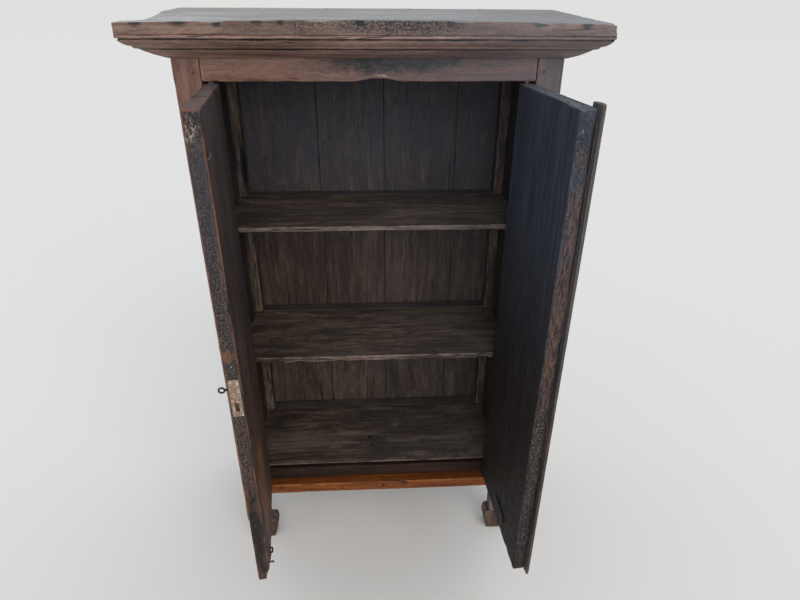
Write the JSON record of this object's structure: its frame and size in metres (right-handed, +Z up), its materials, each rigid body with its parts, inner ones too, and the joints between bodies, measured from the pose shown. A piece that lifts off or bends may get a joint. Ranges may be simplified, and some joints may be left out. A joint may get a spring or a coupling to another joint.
{
  "type": "trastero cabinet",
  "caption": "Tall rustic storage cupboard (trastero) with a carved cornice, open shelves and plank leaves hung on wooden pintles; one leaf has a key-driven lock bolt.",
  "frame": {"origin": "on the floor, under the middle of the overall box with the leaves open as at rest", "axes": "+Z up, -Y towards the viewer on the open side, +X to the right of someone who faces the open side"},
  "size_m": [0.966, 0.7108, 1.495],
  "materials": {
    "old_wood": "worn reddish-brown stained softwood",
    "dark_wood": "blackened inside boards",
    "raw_wood": "bare orange softwood rail",
    "grey_wood": "dusty weathered top boards",
    "peg_wood": "split hardwood pegs and pintles",
    "iron": "rusty wrought iron",
    "lock_iron": "corroded pale lock iron"
  },
  "bodies": {
    "carcass": {"back_board_1": "dark_wood", "back_board_2": "dark_wood", "back_board_3": "dark_wood", "back_board_4": "dark_wood", "bottom_rail": "raw_wood", "carcass_nails": "iron", "cornice_front": "old_wood", "cornice_left": "old_wood", "cornice_right": "old_wood", "floor_board": "dark_wood", "floor_cleats": "dark_wood", "frame_pegs": "peg_wood", "front_foot_left": "old_wood", "front_foot_right": "old_wood", "front_post_left": "old_wood", "front_post_right": "old_wood", "lower_rear_rail": "dark_wood", "middle_rear_rail": "dark_wood", "middle_shelf": "dark_wood", "middle_shelf_cleats": "dark_wood", "rear_foot_left": "old_wood", "rear_foot_right": "old_wood", "rear_post_left": "old_wood", "rear_post_right": "old_wood", "side_bottom_rail_left": "old_wood", "side_bottom_rail_right": "old_wood", "side_plank_left_front": "dark_wood", "side_plank_left_rear": "dark_wood", "side_plank_right_front": "dark_wood", "side_plank_right_rear": "dark_wood", "side_top_rail_left": "old_wood", "side_top_rail_right": "old_wood", "sill_stop": "dark_wood", "top_board_front": "grey_wood", "top_board_middle": "grey_wood", "top_board_rear": "grey_wood", "top_rail": "old_wood", "top_rear_rail": "dark_wood", "upper_rear_rail": "dark_wood", "upper_shelf_cleats": "dark_wood", "upper_shelf_front": "dark_wood", "upper_shelf_rear": "dark_wood"},
    "left_door": {"left_door_dowels": "peg_wood", "left_door_hinge_board": "old_wood", "left_door_irons": "iron", "left_door_lock_board": "old_wood", "left_door_pintles": "peg_wood", "lock_case": "lock_iron", "lock_plate": "lock_iron"},
    "right_door": {"right_door_astragal": "old_wood", "right_door_cleat": "old_wood", "right_door_dowels": "peg_wood", "right_door_free_board": "old_wood", "right_door_hinge_board": "old_wood", "right_door_pintles": "peg_wood"},
    "lock_bolt": {"lock_bolt": "iron"},
    "key": {"key": "iron"}
  },
  "joints": [
    {"name": "left_door_hinge", "type": "hinge", "parent": "carcass", "child": "left_door", "pos_m": [-0.335, -0.0111, 0.222], "axis": [0, 0, -1], "range_deg": [-82.3, 13.7]},
    {"name": "right_door_hinge", "type": "hinge", "parent": "carcass", "child": "right_door", "pos_m": [0.335, -0.0111, 0.222], "axis": [0, 0, 1], "range_deg": [-93.2, 2.8]},
    {"name": "key_turn", "type": "hinge", "parent": "left_door", "child": "key", "pos_m": [-0.2943, -0.31211, 0.789], "axis": [-0.991, -0.134, 0], "range_deg": [0, 180]},
    {"name": "lock_bolt_slide", "type": "slide", "parent": "left_door", "child": "lock_bolt", "axis": [0.134, -0.991, 0], "range_m": [0, 0.01]}
  ],
  "couplings": [
    {"joint": "key_turn", "follows": "lock_bolt_slide", "rad_per_m": 314.16}
  ]
}
